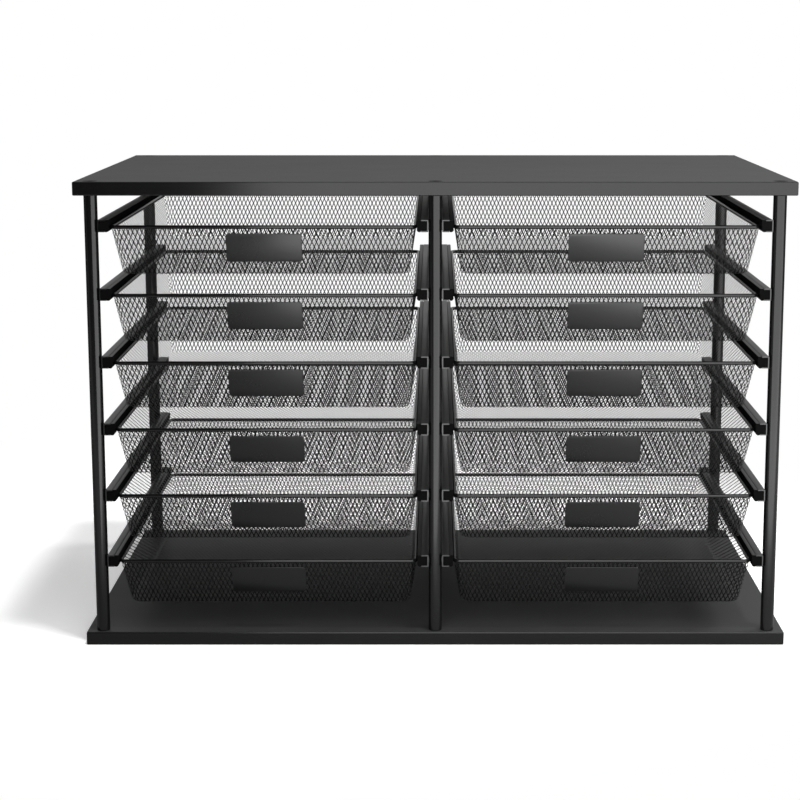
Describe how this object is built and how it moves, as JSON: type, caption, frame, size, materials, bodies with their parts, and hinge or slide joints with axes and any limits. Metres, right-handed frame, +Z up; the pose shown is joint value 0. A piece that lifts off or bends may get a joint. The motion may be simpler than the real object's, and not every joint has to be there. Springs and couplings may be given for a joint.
{
  "type": "mesh file organizer",
  "caption": "Desk organizer with open mesh drawers that slide on channel rails between round posts, under a flat top board and over a flat base board.",
  "frame": {"origin": "middle of the underside of the base board", "axes": "+X to the right seen from the front, +Y from the front to the back, +Z up; the drawers slide out along -Y"},
  "size_m": [0.559, 0.3332, 0.3703],
  "materials": {
    "board_laminate": "black laminate, satin",
    "post_paint": "black powder coat, satin",
    "rail_paint": "black powder coat, satin",
    "rim_paint": "black powder coat, satin",
    "mesh_paint": "black powder coat on expanded mesh",
    "plate_paint": "black powder coat, satin, blank",
    "glide_plastic": "black moulded plastic",
    "screw_steel": "black oxide",
    "plug_steel": "plain turned steel"
  },
  "bodies": {
    "frame": {"rails_left_bay": "rail_paint", "rails_right_bay": "rail_paint", "post_front_left": "post_paint", "post_front_centre": "post_paint", "post_front_right": "post_paint", "post_rear_left": "post_paint", "post_rear_centre": "post_paint", "post_rear_right": "post_paint", "post_plugs": "plug_steel", "board_screws": "screw_steel", "top_board": "board_laminate", "base_board": "board_laminate"},
    "drawer_left_1": {"basket_left_1": "mesh_paint", "rim_wire_left_1": "rim_paint", "name_plate_left_1": "plate_paint", "glides_left_1": "glide_plastic"},
    "drawer_left_2": {"basket_left_2": "mesh_paint", "rim_wire_left_2": "rim_paint", "name_plate_left_2": "plate_paint", "glides_left_2": "glide_plastic"},
    "drawer_left_3": {"basket_left_3": "mesh_paint", "rim_wire_left_3": "rim_paint", "name_plate_left_3": "plate_paint", "glides_left_3": "glide_plastic"},
    "drawer_left_4": {"basket_left_4": "mesh_paint", "rim_wire_left_4": "rim_paint", "name_plate_left_4": "plate_paint", "glides_left_4": "glide_plastic"},
    "drawer_left_5": {"basket_left_5": "mesh_paint", "rim_wire_left_5": "rim_paint", "name_plate_left_5": "plate_paint", "glides_left_5": "glide_plastic"},
    "drawer_left_6": {"basket_left_6": "mesh_paint", "rim_wire_left_6": "rim_paint", "name_plate_left_6": "plate_paint", "glides_left_6": "glide_plastic"},
    "drawer_right_1": {"basket_right_1": "mesh_paint", "rim_wire_right_1": "rim_paint", "name_plate_right_1": "plate_paint", "glides_right_1": "glide_plastic"},
    "drawer_right_2": {"basket_right_2": "mesh_paint", "rim_wire_right_2": "rim_paint", "name_plate_right_2": "plate_paint", "glides_right_2": "glide_plastic"},
    "drawer_right_3": {"basket_right_3": "mesh_paint", "rim_wire_right_3": "rim_paint", "name_plate_right_3": "plate_paint", "glides_right_3": "glide_plastic"},
    "drawer_right_4": {"basket_right_4": "mesh_paint", "rim_wire_right_4": "rim_paint", "name_plate_right_4": "plate_paint", "glides_right_4": "glide_plastic"},
    "drawer_right_5": {"basket_right_5": "mesh_paint", "rim_wire_right_5": "rim_paint", "name_plate_right_5": "plate_paint", "glides_right_5": "glide_plastic"},
    "drawer_right_6": {"basket_right_6": "mesh_paint", "rim_wire_right_6": "rim_paint", "name_plate_right_6": "plate_paint", "glides_right_6": "glide_plastic"}
  },
  "joints": [
    {"name": "slide_left_1", "type": "slide", "parent": "frame", "child": "drawer_left_1", "axis": [0, -1, 0], "range_m": [0, 0.24]},
    {"name": "slide_left_2", "type": "slide", "parent": "frame", "child": "drawer_left_2", "axis": [0, -1, 0], "range_m": [0, 0.24]},
    {"name": "slide_left_3", "type": "slide", "parent": "frame", "child": "drawer_left_3", "axis": [0, -1, 0], "range_m": [0, 0.24]},
    {"name": "slide_left_4", "type": "slide", "parent": "frame", "child": "drawer_left_4", "axis": [0, -1, 0], "range_m": [0, 0.24]},
    {"name": "slide_left_5", "type": "slide", "parent": "frame", "child": "drawer_left_5", "axis": [0, -1, 0], "range_m": [0, 0.24]},
    {"name": "slide_left_6", "type": "slide", "parent": "frame", "child": "drawer_left_6", "axis": [0, -1, 0], "range_m": [0, 0.24]},
    {"name": "slide_right_1", "type": "slide", "parent": "frame", "child": "drawer_right_1", "axis": [0, -1, 0], "range_m": [0, 0.24]},
    {"name": "slide_right_2", "type": "slide", "parent": "frame", "child": "drawer_right_2", "axis": [0, -1, 0], "range_m": [0, 0.24]},
    {"name": "slide_right_3", "type": "slide", "parent": "frame", "child": "drawer_right_3", "axis": [0, -1, 0], "range_m": [0, 0.24]},
    {"name": "slide_right_4", "type": "slide", "parent": "frame", "child": "drawer_right_4", "axis": [0, -1, 0], "range_m": [0, 0.24]},
    {"name": "slide_right_5", "type": "slide", "parent": "frame", "child": "drawer_right_5", "axis": [0, -1, 0], "range_m": [0, 0.24]},
    {"name": "slide_right_6", "type": "slide", "parent": "frame", "child": "drawer_right_6", "axis": [0, -1, 0], "range_m": [0, 0.24]}
  ]
}
